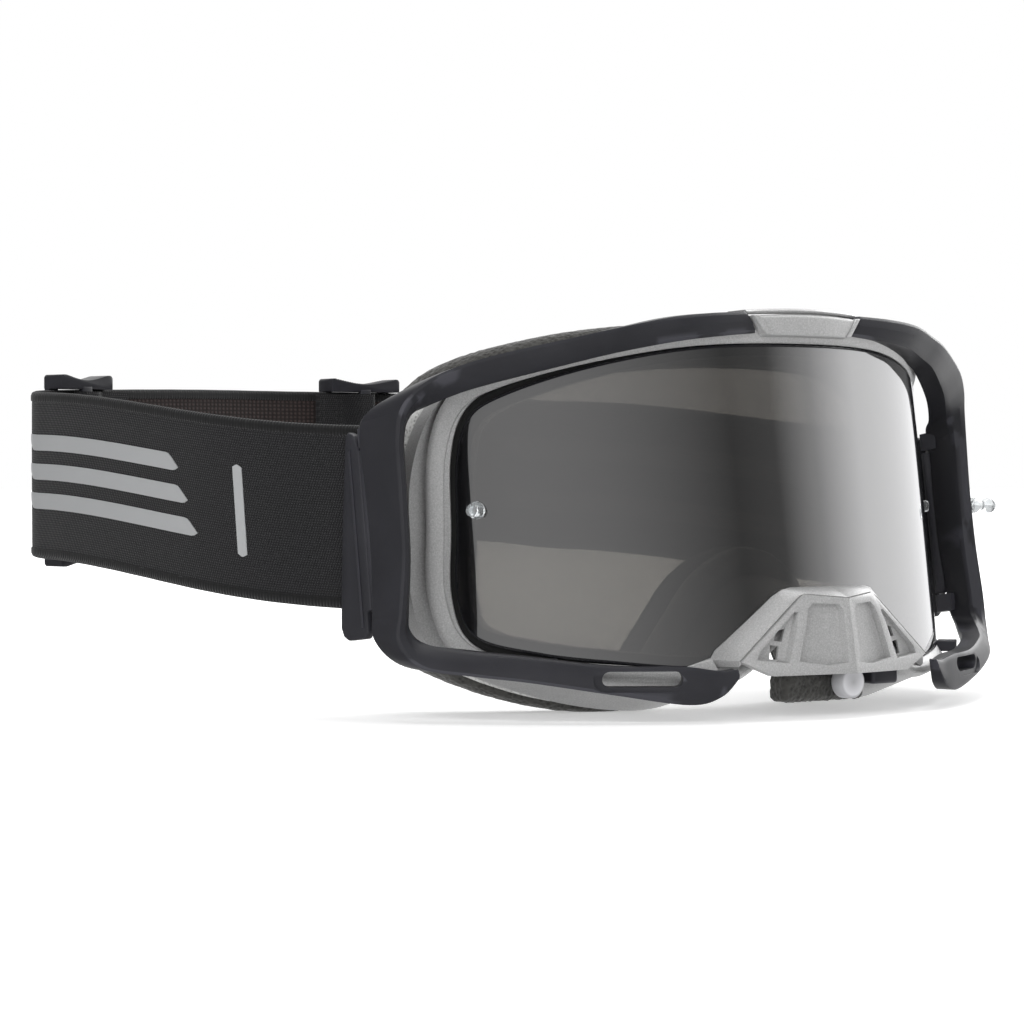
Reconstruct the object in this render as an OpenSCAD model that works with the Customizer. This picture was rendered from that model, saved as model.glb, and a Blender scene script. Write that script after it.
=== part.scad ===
// Wide-view off-road riding goggles: curved lens in a soft inner frame,
// carried by a stand-off outer frame, with layered face foam, a pull-off
// nose guard, hinged strap plates and a strap with two sliding adjusters.
// Origin: on the mid plane, at the top of the nose notch on the face side; front is -Y, up is +Z.

/* [Lens] */
// Bend radius of the lens
lens_r = 89; // [86:1:92]
// Lens thickness
lens_t = 1.2; // [1:0.1:1.4]
// Forward lean of the lens, mm per mm of height
lean = 0.14; // [0.12:0.01:0.16]
// Radius of the head of each lens post
post_r = 1.65; // [1.5:0.05:1.8]
// Length of each lens post
post_l = 3.6; // [3.2:0.1:4]

// Radius of the tab post's head
tab_r = 2.2; // [2:0.1:2.4]

/* [Foam] */
// Width of the foam ring
foam_w = 12; // [10:0.5:13]
// Thickness of the light grey first layer
foam_a = 4; // [3:0.5:5]
// Thickness of the dark middle layer
foam_b = 9; // [7:0.5:10]
// Thickness of the fleece against the face
foam_c = 2; // [1.5:0.5:2.5]

/* [Strap] */
// Width of the strap
strap_w = 48; // [45:1:50]
// Thickness of the strap
strap_t = 1.8; // [1.4:0.2:2]

/* [Adjusters] */
// Length of an adjuster along the strap
glide_l = 20; // [18:1:22]
// Length of the wearer's left adjuster
long_l = 26; // [24:1:28]
// Bar width of an adjuster
glide_bar = 4; // [3.5:0.5:4.5]

/* [Strap plates] */
// Thickness of a strap plate
plate_t = 2.4; // [2:0.2:2.6]
// Radius of a hinge pin
pin_r = 0.9; // [0.8:0.05:1]
// Running clearance of a hinge pin
pin_gap = 0.05; // [0.03:0.01:0.08]

/* [Hidden] */
z0 = 19;
dy = 33;
y0 = -9.3;

// ---------- curves ----------
function add(a, b) = a + b;
function unit(v) = v / max(norm(v), 1e-9);
function cr(p, q, r, s, t) = 0.5 * ((2 * q) + (r - p) * t + (2 * p - 5 * q + 4 * r - s) * t * t + (3 * q - p - 3 * r + s) * t * t * t);
// Closed curve through its control points, m steps between two of them
function closed(P, m) = let(n = len(P)) [for (i = [0:n - 1], j = [0:m - 1])
  cr(P[(i + n - 1) % n], P[i], P[(i + 1) % n], P[(i + 2) % n], j / m)];
// Open curve through its control points
function open(P, m) = let(n = len(P)) concat([for (i = [0:n - 2], j = [0:m - 1])
  cr(P[max(i - 1, 0)], P[i], P[i + 1], P[min(i + 2, n - 1)], j / m)], [P[n - 1]]);
// Full outline from its right half, given from top middle to bottom middle
function both(H) = concat(H, [for (i = [len(H) - 2:-1:1]) [-H[i][0], H[i][1]]]);
// Outward direction of a clockwise closed outline at sample i
function outward(L, i) = let(n = len(L), d = unit(L[(i + 1) % n] - L[(i + n - 1) % n])) [-d[1], d[0]];
function shifted(L, o) = [for (i = [0:len(L) - 1]) L[i] + outward(L, i) * o];

// Point of the lens surface: s along the bend, z up, h out of the surface
function W(s, z, h) = let(a = s / lens_r * 180 / PI)
  [(lens_r + h) * sin(a), y0 + lean * z + lens_r - (lens_r + h) * cos(a), z + z0];
// Outward normal of the lens surface
function WN(s) = let(a = s / lens_r * 180 / PI) [sin(a), -cos(a), 0];
// Face side of the frame: depth at x
function face_y(x) = 18 + 112 - sqrt(max(112 * 112 - x * x, 1));

// Lens outline, right half, on the bent surface
lens_half = [[0, 46.3], [32, 45.2], [60, 40.3], [84, 33], [94, 27], [98.5, 16], [100, -2], [101.5, -19],
  [97, -29.5], [80, -33.5], [60, -35.5], [41, -36.8], [30, -35], [18, -26.5], [8, -22.5], [0, -21.5]];
// Outline of the face side, right half, seen from the front
face_half = [[0, 53], [32, 51.8], [56, 48], [75, 41], [84, 30], [88, 14], [88.5, -4], [88, -21],
  [84, -34.5], [72, -43], [56, -48.6], [38, -50.4], [26, -46.5], [17, -34], [9, -23], [0, -19]];
mm = 3;
lens_loop = closed(both(lens_half), mm);
face_loop = closed(both(face_half), mm);
NN = len(lens_loop);

// ---------- bodies from sections ----------
// Ring: n closed sections of m points each, joined in a loop
module ring(S) {
  n = len(S); m = len(S[0]);
  polyhedron([for (a = S, p = a) p], [for (i = [0:n - 1], j = [0:m - 1]) let(k = (i + 1) % n, l = (j + 1) % m)
    each [[i * m + j, k * m + j, k * m + l], [i * m + j, k * m + l, i * m + l]]], convexity = 6);
}
// Bar: n sections of m points each, closed by a cap at each end, turned so that its faces look outwards
function total(P, i = 0) = i >= len(P) ? [0, 0, 0] : P[i] + total(P, i + 1);
function area_v(P) = total([for (j = [0:len(P) - 1]) cross(P[j] - P[0], P[(j + 1) % len(P)] - P[0])]);
function flipped(S) = area_v(S[0]) * (total(S[1]) - total(S[0])) > 0;
function turned(S) = flipped(S) ? [for (q = S) [for (j = [len(q) - 1:-1:0]) q[j]]] : S;
module bar(S0) {
  S = turned(S0); n = len(S); m = len(S[0]);
  polyhedron([for (a = S, p = a) p], concat(
    [[for (j = [m - 1:-1:0]) j]], [[for (j = [0:m - 1]) (n - 1) * m + j]],
    [for (i = [0:n - 2], j = [0:m - 1]) let(l = (j + 1) % m)
      each [[i * m + j, i * m + l, (i + 1) * m + l], [i * m + j, (i + 1) * m + l, (i + 1) * m + j]]]), convexity = 6);
}
// Prism: a fan-shaped outline of points pushed along a vector
module prism(P, v) {
  n = len(P);
  bar([P, [for (p = P) p + v]]);
}
// Moves a piece from the drawing axes to the origin at the nose notch
module placed() translate([0, -dy, 0]) children();
module mirror_x(flip) { if (flip) mirror([1, 0, 0]) children(); else children(); }

// ---------- lens ----------
// Upper and lower edge of the lens at s
top_tab = [for (i = [0:mm * 7]) lens_loop[i]];
low_tab = [for (i = [mm * 15:-1:mm * 7]) lens_loop[i]];
function edge_top(s) = lookup(abs(s), top_tab);
function edge_low(s) = lookup(abs(s), low_tab);
lens_s = 100.6;
module lens() placed() {
  color([0.55, 0.56, 0.57, 0.6]) {
    L = [for (i = [-28:28]) lens_s * sin(i * 90 / 28)];
    bar([for (s = L) [W(s, edge_top(s) - 0.2, 0), W(s, edge_low(s) + 0.2, 0), W(s, edge_low(s) + 0.2, -lens_t), W(s, edge_top(s) - 0.2, -lens_t)]]);
  }
}
// Section of a ring around the lens: points [offset, height] on the bent surface
function lens_sec(i, Q) = let(o = outward(lens_loop, i)) [for (q = Q) let(p = lens_loop[i] + o * q[0]) W(p[0], p[1], q[1])];
module lens_gasket() placed() color([0.08, 0.08, 0.08])
  ring([for (i = [0:NN - 1]) lens_sec(i, [[-2.8, -1.3], [-2.8, -2.1], [2.2, -2.1], [2.2, -1.3]])]);

// ---------- inner frame ----------
function face_pt(i, o, dy) = let(p = face_loop[i] + outward(face_loop, i) * o) [p[0], face_y(p[0]) + dy, p[1] + z0];
module inner_frame() placed() color([0.66, 0.67, 0.68])
  ring([for (i = [0:NN - 1]) concat(
    lens_sec(i, [[-3, -2.2], [2.4, -2.2], [2.6, -0.6], [4.8, 1.3], [6, 1.3], [8.6, -3]]),
    [face_pt(i, -1.4, -6), face_pt(i, -2.1, -0.05), face_pt(i, -5, -0.05)],
    lens_sec(i, [[-3, -5.5]]))]);

// ---------- face foam ----------
module foam(a, b, w1, w2, inset) ring([for (i = [0:NN - 1])
  [face_pt(i, -inset, a), face_pt(i, -inset - w1, b), face_pt(i, -w2, b), face_pt(i, -w2, a)]]);
module foam_base() placed() color([0.72, 0.72, 0.71]) foam(0, foam_a, 0, foam_w, 1.9);
module foam_middle() placed() color([0.25, 0.25, 0.24]) foam(foam_a + 0.3, foam_a + foam_b, 1, foam_w, 0.2);
module face_fleece() placed() color([0.12, 0.12, 0.12]) foam(foam_a + foam_b + 0.3, foam_a + foam_b + foam_c, 0.8, foam_w - 0.4, 1.4);

// ---------- brow badge ----------
badge_x = [0, 7, 14, 20];
module brow_badge() placed() color([0.7, 0.71, 0.72]) {
  X = [for (i = [-5:5]) i / 5];
  bar([for (t = X) let(y = -6.2 + 0.0075 * 370 * t * t)
    [[18.6 * t, y + 1.4, 54.3 + z0 - 0.6 * t * t], [18 * t, y - 1, 53.6 + z0 - 0.6 * t * t], [14.6 * t, y - 1.6, 49 + z0],
     [14 * t, y + 0.6, 48 + z0], [14 * t, y + 1.8, 48.2 + z0], [18.6 * t, y + 3.4, 54 + z0 - 0.6 * t * t]]]);
}
module brow_badge_cap() placed() color([0.78, 0.79, 0.8]) {
  bar([for (i = [-5:5]) let(t = i / 5, y = -5 + 2.8 * t * t)
    [[18.8 * t, y, 54.6 + z0 - 0.6 * t * t], [18.8 * t, y, 55.6 + z0 - 0.6 * t * t], [18.8 * t, y + 8, 55.6 + z0 - 0.6 * t * t], [18.8 * t, y + 8, 54.6 + z0 - 0.6 * t * t]]]);
}

// ---------- outer frame ----------
// Each row: outer front edge, vector to the back, vector inwards
exo = [
  [[20, -3.4, 54.4], [0, 8.5, 0], [-3.4, -1.2, -5.4]],
  [[31, -3.6, 53.8], [0, 9, 0], [-1.6, -1, -6]],
  [[42, -2, 52.6], [-0.5, 9, -0.2], [-1.6, -0.2, -6.2]],
  [[53, 3.2, 50.2], [-1.5, 9, -0.4], [-1.8, 0.6, -6]],
  [[63.5, 9, 47.6], [-1.5, 9, -0.8], [-2.2, 0.8, -6]],
  [[83.3, 23.5, 42], [1, 11, -2], [-4, 1, -6]],
  [[93.5, 32, 37], [3, 13, -4], [-5, 1, -5]],
  [[98.8, 37, 30.5], [2.8, 15, -3], [-5, 0.6, -2.2]],
  [[100.4, 38, 22], [2, 15, -1], [-4.2, 0.5, 0]],
  [[100.4, 36.6, 8], [1.6, 14.2, 0], [-4, 0.5, 0]],
  [[100.8, 34.6, -8], [1.2, 13.6, 0], [-4, 0.5, 0]],
  [[102.6, 33.4, -22], [0.6, 12.4, 0], [-4.4, 0.5, 0.8]],
  [[103.4, 33, -30], [0, 11.4, 0], [-5, 0, 3]],
  [[99.5, 28, -36.4], [-1, 10, 0], [-3, 1, 6]],
  [[91, 19, -38.2], [-4, 7, 0], [-1, 2, 6.2]],
  [[79.7, 8.5, -39.8], [-4, 5.5, 0], [-0.4, 1.5, 6.4]],
  [[63, -3.6, -42.8], [-3, 5.5, 0], [0, 1, 7.2]],
  [[46.5, -13, -45.4], [-2, 5, 0], [0, 0.5, 9.4]],
  [[39, -16.6, -43.5], [-1, 4.5, 0], [-0.4, 0.5, 6.5]],
  [[34.6, -18.2, -39], [0, 3.4, 0], [-0.2, 0.3, 2.4]]];
exo_p = open([for (e = exo) e[0]], 2);
exo_a = open([for (e = exo) e[1]], 2);
exo_b = open([for (e = exo) e[2]], 2);
function exo_sec(i) = let(p = exo_p[i] + [0, 0, z0], a = exo_a[i], b = exo_b[i])
  [p + a * 0.1 + b * 0.02, p + b * 0.16 + a * 0.0, p + b * 0.86 + a * 0.06, p + b + a * 0.2, p + b + a * 0.92, p + b * 0.8 + a, p + b * 0.1 + a];
module exo_half() difference() {
  bar([for (i = [0:len(exo_p) - 1]) exo_sec(i)]);
  // Seat of the hinge barrel and of the pin's ends
  at_hinge() cylinder(h = 42.4, r = 2.6, center = true, $fn = 40);
  at_hinge() cylinder(h = hinge_h, r = pin_r + pin_gap, center = true, $fn = 40);
  // Slot through the lower arm
  translate([57, -7.4, z0 - 38.9]) rotate([0, 0, 33]) translate([-10, -8, -1.9]) cube([20, 20, 3.8]);
}
module outer_frame_left() placed() color([0.09, 0.09, 0.1]) exo_half();
module outer_frame_right() placed() color([0.09, 0.09, 0.1]) mirror([1, 0, 0]) exo_half();

// Clips that tie the outer frame to the inner frame
module frame_clips() placed() color([0.1, 0.1, 0.1]) for (q = [0, 1]) mirror_x(q == 1) {
  prism([[58, 12.5, z0 + 44], [66, 18, z0 + 42.4], [66, 18, z0 + 45], [58, 12.5, z0 + 46.6]], [-1.5, 2.9, 0]);
  prism([[70, 12.2, z0 - 37.2], [78, 19.6, z0 - 37.2], [78, 19.6, z0 - 34.4], [70, 12.2, z0 - 34.4]], [-3.6, 3.6, 0]);
}

// ---------- posts ----------
module post_shape() {
  rotate_extrude($fn = 32) polygon([[0, -0.2], [2.3, -0.2], [2.3, 0.7], [1.15, 0.9], [1.15, 1.9], [post_r, 2.1], [post_r, post_l - 0.3], [post_r - 0.3, post_l], [0, post_l]]);
}
post_s = 93.5;
module post_at(side) {
  a = post_s / lens_r * 180 / PI;
  translate(W(post_s * side, 3.2, 0.25)) rotate([0, 0, a * side]) rotate([90, 0, 0]) post_shape();
}
module lens_post_left() placed() color([0.85, 0.86, 0.87, 0.7]) post_at(1);
module lens_post_right() placed() color([0.85, 0.86, 0.87, 0.7]) post_at(-1);
module tab_post() placed() color([0.85, 0.86, 0.87, 0.7])
  translate([101.7, 38.5, z0 + 3.2]) rotate([0, 90, 0]) rotate_extrude($fn = 32)
    polygon([[0, 0.1], [2.2, 0.1], [2.2, 2.2], [1.35, 2.5], [1.35, 5.4], [1.7, 5.8], [tab_r, 6.6], [tab_r, 8.2], [1.7, 9.1], [0, 9.4]]);

// ---------- nose guard ----------
gc_t = [0, -20.8, -19.4 + z0];
gc_b = [0, -24, -38.6 + z0];
g_t = [11.9, -16.6, -18.3 + z0];
g_o = [31.8, -15.8, -35 + z0];
g_b = [23, -18.4, -38.8 + z0];
module guard_half() {
  // front wall
  difference() {
    prism([gc_t, gc_b, g_b, g_o, g_t], [0, 2, 0]);
    prism([[2.4, -24, -22.6 + z0], [2.4, -26, -35.8 + z0], [15.5, -23, -34.5 + z0], [11.5, -20, -21.8 + z0]], [0, 3.6, 0]);
    prism([[17.5, -21.4, -27.2 + z0], [19, -21.4, -35.6 + z0], [27, -19.6, -34.6 + z0]], [0, 4.6, 0]);
  }
  // flange back to the lens
  bar([[gc_t + [0, 1.9, 0.1], gc_t + [0, 1.9, -1.6], [0, -13.6, z0 - 18.2], [0, -13.6, z0 - 16.4]],
       [g_t + [0, 1.9, 0.1], g_t + [-0.6, 1.9, -1.7], [12.6, -12.4, z0 - 18.6], [13.8, -12.2, z0 - 16.8]],
       [g_o + [0, 1.9, 0.1], g_o + [-1.2, 1.9, -1.6], [34.1, -8, z0 - 36.2], [36.6, -7.2, z0 - 35.2]]]);
}
module nose_guard() placed() color([0.66, 0.67, 0.68]) { guard_half(); mirror([1, 0, 0]) guard_half(); }
module nose_guard_pegs() placed() color([0.6, 0.61, 0.62]) for (q = [-1, 1])
  translate([q * 20, -17.2, z0 - 36.4]) rotate([-90, 0, 0]) cylinder(h = 3.8, r = 1.5, $fn = 32);
module nose_clip() placed() color([0.75, 0.75, 0.76])
  translate([6, -11.5, z0 - 41.6]) rotate([90, 0, 0]) cylinder(h = 4.5, r = 4.3, $fn = 48);
module nose_foam() placed() color([0.2, 0.2, 0.19])
  translate([-11, -8.5, z0 - 46.8]) cube([28, 7, 7.6]);
module chin_tab() placed() color([0.4, 0.41, 0.42])
  translate([18.5, -10, z0 - 43]) cube([9, 6, 5]);

// ---------- strap plates ----------
hinge_mid = [99.5, 50.6, -2];
hinge_tilt = -8.3;
hinge_h = 54;
module at_hinge() translate(hinge_mid + [0, 0, z0]) rotate([hinge_tilt, 0, 0]) children();
module lugs() at_hinge() for (q = [-1, 1]) translate([0, 0, q * (hinge_h / 2 - 3)]) difference() {
  union() { cylinder(h = 5, r = 2.1, center = true, $fn = 40); translate([-2.1, -5.5, -2.5]) cube([4.2, 5.5, 5]); }
  cylinder(h = 6, r = pin_r, center = true, $fn = 40);
}
module pin() at_hinge() cylinder(h = hinge_h - 1, r = pin_r, center = true, $fn = 40);
module plate() at_hinge() difference() {
  union() {
    cylinder(h = hinge_h - 12, r = 2.1, center = true, $fn = 40);
    translate([2.3 - plate_t, 0, 0]) rotate([90, 0, 90]) linear_extrude(plate_t)
      polygon([[0, -20.8], [0, 20.8], [2.8, 20.8], [3.1, 25.5], [5.2, 26.5], [6.4, 25], [15, -20], [15.4, -24], [13, -27], [4.5, -27.4], [2.9, -26], [2.9, -20.8]]);
  }
  cylinder(h = hinge_h, r = pin_r + pin_gap, center = true, $fn = 40);
}
module hinge_lugs_left() placed() color([0.1, 0.1, 0.1]) lugs();
module hinge_lugs_right() placed() color([0.1, 0.1, 0.1]) mirror([1, 0, 0]) lugs();
module hinge_pin_left() placed() color([0.6, 0.6, 0.62]) pin();
module hinge_pin_right() placed() color([0.6, 0.6, 0.62]) mirror([1, 0, 0]) pin();
module strap_plate_left() placed() color([0.1, 0.1, 0.11]) plate();
module strap_plate_right() placed() color([0.1, 0.1, 0.11]) mirror([1, 0, 0]) plate();

// ---------- strap ----------
// Plan of the strap from the wearer's right plate round the back to the left plate
strap_plan = [[-97.6, 57.6], [-98.2, 62], [-101.5, 70], [-109.5, 88], [-115.5, 108], [-119.6, 132], [-122.6, 158], [-124.2, 180],
  [-123.8, 192], [-118, 199.2], [-108, 202], [-96, 204.9], [-84, 207.8], [-60, 213.6], [-38, 218.4], [-22, 219.8], [-6, 219.8], [12, 219.8],
  [28, 219.8], [42, 216], [54, 204], [64, 184], [74, 158], [84, 125], [91.5, 95], [96.4, 70], [97.7, 62], [97.5, 57.6]];
plan = open(strap_plan, 2);
function plan_dir(i) = unit(plan[min(i + 1, len(plan) - 1)] - plan[max(i - 1, 0)]);
function ease(t) = let(u = min(max(t, 0), 1)) u * u * (3 - 2 * u);
function strap_z(y) = 1.2 + 10.8 * ease((y - 55) / 135) + 2.6 * ease((y - 185) / 34) + z0;
function strap_sec(i, t1, t2, lo, hi) = let(p = plan[i], d = plan_dir(i), nrm = [d[1], -d[0]], z = strap_z(p[1]))
  [[p[0] + nrm[0] * t1, p[1] + nrm[1] * t1, z + lo], [p[0] + nrm[0] * t2, p[1] + nrm[1] * t2, z + lo],
   [p[0] + nrm[0] * t2, p[1] + nrm[1] * t2, z + hi], [p[0] + nrm[0] * t1, p[1] + nrm[1] * t1, z + hi]];
module band(i0, i1, t1, t2, lo, hi) bar([for (i = [i0:i1]) strap_sec(i, t1, t2, lo, hi)]);
hs = strap_w / 2; ht = strap_t / 2;
module strap_anchor_right() placed() color([0.12, 0.12, 0.13]) band(0, 2, -ht, ht, -hs, hs);
module strap_right() placed() color([0.13, 0.13, 0.14]) band(3, 22, -ht, ht, -hs, hs);
module strap_back() placed() color([0.13, 0.13, 0.14]) band(23, 34, -ht, ht, -hs, hs);
module strap_left() placed() color([0.13, 0.13, 0.14]) band(35, 51, -ht, ht, -hs, hs);
module strap_anchor_left() placed() color([0.12, 0.12, 0.13]) band(52, 54, -ht, ht, -hs, hs);
// Rubber grip strips on the inner face of both side stretches
module grip(lo, hi) { band(4, 16, ht + 0.03, ht + 0.6, lo, hi); band(39, 50, ht + 0.03, ht + 0.6, lo, hi); }
module grip_strip_upper() placed() color([0.3, 0.27, 0.26]) grip(5, 11.6);
module grip_strip_lower() placed() color([0.3, 0.27, 0.26]) grip(-12.2, -5.6);
// Plain bars printed on the outer face
module strap_bars() placed() color([0.72, 0.73, 0.74]) {
  band(9, 16, -ht - 0.3, -ht - 0.03, 6, 10.5);
  band(8, 16, -ht - 0.3, -ht - 0.03, -3, 1.5);
  band(7, 16, -ht - 0.3, -ht - 0.03, -12, -7.5);
}

// ---------- adjusters ----------
module glide(glide_l) {
  bar_h = strap_w + 0.8; cb = ht + 1.9;
  for (q = [-1, 1]) translate([0, 0, q * (bar_h / 2 + 1.6)]) difference() {
    translate([-glide_l / 2, -cb - 2, -1.6]) cube([glide_l, cb + 2 + ht + 2.6, 3.2]);
    translate([0, 0, q * 12.6]) rotate([90, 0, 0]) cylinder(h = 20, r = 12, center = true, $fn = 64);
  }
  for (q = [-1, 1]) translate([q * (glide_l / 2 - glide_bar / 2) - glide_bar / 2, ht + 0.4, -bar_h / 2 - 0.2]) cube([glide_bar, 2.2, bar_h + 0.4]);
  translate([-glide_bar / 2, -cb - 2, -bar_h / 2 - 0.2]) cube([glide_bar, 2, bar_h + 0.4]);
}
module sewn(dir) {
  cb = ht + 1.9; w = glide_bar / 2 + 0.25; h = strap_w - 1;
  difference() {
    translate([-w - 1.2, -cb - 3.5, -h / 2]) cube([2 * w + 2.4, 4.95, h]);
    translate([-w, -cb - 2.25, -h / 2 - 1]) cube([2 * w, 2.5, h + 2]);
  }
  translate([dir > 0 ? w + 1.2 : -w - 15.2, -ht - 1.65, -h / 2]) cube([14, 1.2, h]);
}
// Seat of an adjuster: x along the strap, y out of the strap
module seat_right() translate([-104.5, 202.84, strap_z(203)]) rotate([0, 0, 13.59]) mirror([0, 0, 0]) children();
module seat_left() translate([6, 219.8, strap_z(219.8)]) children();
module strap_adjuster_right() placed() color([0.08, 0.08, 0.08]) seat_right() glide(glide_l);
module strap_adjuster_left() placed() color([0.08, 0.08, 0.08]) seat_left() glide(long_l);
module sewn_loop_right() placed() color([0.12, 0.12, 0.13]) seat_right() sewn(1);
module sewn_loop_left() placed() color([0.12, 0.12, 0.13]) seat_left() sewn(-1);

lens();
lens_gasket();
inner_frame();
brow_badge();
brow_badge_cap();
outer_frame_right();
outer_frame_left();
lens_post_right();
lens_post_left();
tab_post();
nose_guard();
nose_guard_pegs();
nose_clip();
nose_foam();
chin_tab();
foam_base();
foam_middle();
face_fleece();
frame_clips();
hinge_lugs_right();
hinge_lugs_left();
hinge_pin_right();
hinge_pin_left();
strap_plate_right();
strap_plate_left();
strap_anchor_right();
strap_anchor_left();
strap_right();
strap_back();
strap_left();
grip_strip_upper();
grip_strip_lower();
strap_adjuster_right();
strap_adjuster_left();
sewn_loop_right();
sewn_loop_left();
strap_bars();
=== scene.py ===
import bpy, bmesh, math
import numpy as np
from mathutils import Vector, Matrix, noise


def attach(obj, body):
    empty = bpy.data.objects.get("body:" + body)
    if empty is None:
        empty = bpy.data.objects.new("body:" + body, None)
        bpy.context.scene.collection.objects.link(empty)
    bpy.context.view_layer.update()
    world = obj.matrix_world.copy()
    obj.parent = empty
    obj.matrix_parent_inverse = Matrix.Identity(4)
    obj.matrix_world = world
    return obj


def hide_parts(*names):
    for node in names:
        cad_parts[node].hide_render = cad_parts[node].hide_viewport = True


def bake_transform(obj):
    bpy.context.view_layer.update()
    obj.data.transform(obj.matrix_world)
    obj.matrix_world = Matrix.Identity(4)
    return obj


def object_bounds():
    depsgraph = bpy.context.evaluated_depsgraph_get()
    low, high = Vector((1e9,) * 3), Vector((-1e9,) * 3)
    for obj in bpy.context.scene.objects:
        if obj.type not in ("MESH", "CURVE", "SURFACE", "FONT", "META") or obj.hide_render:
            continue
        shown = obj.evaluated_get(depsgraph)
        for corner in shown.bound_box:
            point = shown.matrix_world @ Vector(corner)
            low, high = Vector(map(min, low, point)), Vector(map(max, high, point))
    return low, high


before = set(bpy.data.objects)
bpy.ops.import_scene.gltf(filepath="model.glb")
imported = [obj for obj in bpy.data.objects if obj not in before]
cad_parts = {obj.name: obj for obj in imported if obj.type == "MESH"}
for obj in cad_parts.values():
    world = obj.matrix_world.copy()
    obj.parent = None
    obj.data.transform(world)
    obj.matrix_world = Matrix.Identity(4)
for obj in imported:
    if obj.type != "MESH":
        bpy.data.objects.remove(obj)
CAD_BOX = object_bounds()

# ------------------------------------------------------------------ numbers
# Drawing axes are the CAD's: millimetres, moved by DY along Y into the frame.
DY, Z0 = 33.0, 19.0
LR, LEAN, Y0, LT = 89.0, 0.14, -9.3, 1.2
HS, HT = 24.0, 0.9


def V3(*a):
    return np.array(a, float)


def cr(p, q, r, s, t):
    return 0.5 * ((2 * q) + (r - p) * t + (2 * p - 5 * q + 4 * r - s) * t * t + (3 * q - p - 3 * r + s) * t ** 3)


def closed(P, m):
    P = np.array(P, float)
    n = len(P)
    return np.array([cr(P[i - 1], P[i], P[(i + 1) % n], P[(i + 2) % n], j / m) for i in range(n) for j in range(m)])


def opened(P, m):
    P = np.array(P, float)
    n = len(P)
    out = [cr(P[max(i - 1, 0)], P[i], P[i + 1], P[min(i + 2, n - 1)], j / m) for i in range(n - 1) for j in range(m)]
    return np.array(out + [P[-1]])


def both(H):
    H = [list(h) for h in H]
    return H + [[-h[0]] + h[1:] for h in H[-2:0:-1]]


def outwards(L):
    d = np.roll(L, -1, 0)[:, :2] - np.roll(L, 1, 0)[:, :2]
    d /= np.maximum(np.linalg.norm(d, axis=1, keepdims=True), 1e-9)
    return np.stack([-d[:, 1], d[:, 0]], 1)


def W(s, z, h=0.0):
    a = s / LR
    return np.stack([(LR + h) * np.sin(a), Y0 + LEAN * z + LR - (LR + h) * np.cos(a), z + Z0 + 0 * a], -1)


def face_y(x):
    return 18 + 112 - np.sqrt(np.maximum(112 * 112 - x * x, 1))


def ease(t):
    u = np.clip(t, 0, 1)
    return u * u * (3 - 2 * u)


# s, z, distance of the rim's crest from the lens edge
lens_half = [[0, 46.3, 3.3], [32, 45.2, 3.4], [60, 40.3, 3.9], [84, 33, 5.2], [94, 27, 6.2], [98.5, 16, 7], [100, -2, 7.5],
             [101.5, -19, 7.2], [97, -29.5, 6], [80, -33.5, 4.2], [60, -35.5, 3.4], [41, -36.8, 3], [30, -35, 3], [18, -26.5, 3],
             [8, -22.5, 3], [0, -21.5, 3]]
face_half = [[0, 53], [32, 51.8], [56, 48], [75, 41], [84, 30], [88, 14], [88.5, -4], [88, -21],
             [84, -34.5], [72, -43], [56, -48.6], [38, -50.4], [26, -46.5], [17, -34], [9, -23], [0, -19]]
MM_ = 10
LL = closed(both(lens_half), MM_)
FL = closed(both(face_half), MM_)
LN, FN = outwards(LL), outwards(FL)
N = len(LL)


# ------------------------------------------------------------------ meshes
def obj_from(name, verts, faces, mat, uv=None):
    me = bpy.data.meshes.new(name)
    v = np.array(verts, float).reshape(-1, 3).copy()
    v[:, 1] -= DY
    v *= 0.001
    me.from_pydata([tuple(p) for p in v], [], [tuple(int(i) for i in f) for f in faces])
    if uv is not None:
        layer = me.uv_layers.new(name="UVMap")
        uv = np.array(uv, float)
        idx = np.zeros(len(me.loops), np.int32)
        me.loops.foreach_get("vertex_index", idx)
        layer.data.foreach_set("uv", uv[idx].ravel().astype(np.float32))
    me.validate()
    me.update()
    bm = bmesh.new()
    bm.from_mesh(me)
    bmesh.ops.recalc_face_normals(bm, faces=bm.faces)
    bm.to_mesh(me)
    bm.free()
    o = bpy.data.objects.new(name, me)
    bpy.context.scene.collection.objects.link(o)
    if mat is not None:
        me.materials.append(mat)
    return o


def bake(o):
    """Apply the modifiers of an object to its mesh."""
    dg = bpy.context.evaluated_depsgraph_get()
    me = bpy.data.meshes.new_from_object(o.evaluated_get(dg))
    old = o.data
    o.modifiers.clear()
    o.data = me
    bpy.data.meshes.remove(old)
    return o


def smooth(o, angle=35):
    me = o.data
    me.polygons.foreach_set("use_smooth", [True] * len(me.polygons))
    me.set_sharp_from_angle(angle=math.radians(angle))
    return o


def bevel(o, width=0.4, seg=2, angle=24, sharp=40):
    b = o.modifiers.new("bevel", "BEVEL")
    b.width = width * 0.001
    b.segments = seg
    b.limit_method = "ANGLE"
    b.angle_limit = math.radians(angle)
    b.use_clamp_overlap = True
    b.harden_normals = False
    bake(o)
    return smooth(o, sharp)


def ring(name, S, mat):
    S = np.array(S, float)
    n, m = S.shape[:2]
    F = [(i * m + j, ((i + 1) % n) * m + j, ((i + 1) % n) * m + (j + 1) % m, i * m + (j + 1) % m) for i in range(n) for j in range(m)]
    return obj_from(name, S.reshape(-1, 3), F, mat)


def bar(name, S, mat, uv=None):
    S = np.array(S, float)
    n, m = S.shape[:2]
    F = [(i * m + j, (i + 1) * m + j, (i + 1) * m + (j + 1) % m, i * m + (j + 1) % m) for i in range(n - 1) for j in range(m)]
    F += [tuple(range(m))[::-1], tuple((n - 1) * m + j for j in range(m))]
    return obj_from(name, S.reshape(-1, 3), F, mat, uv)


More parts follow.
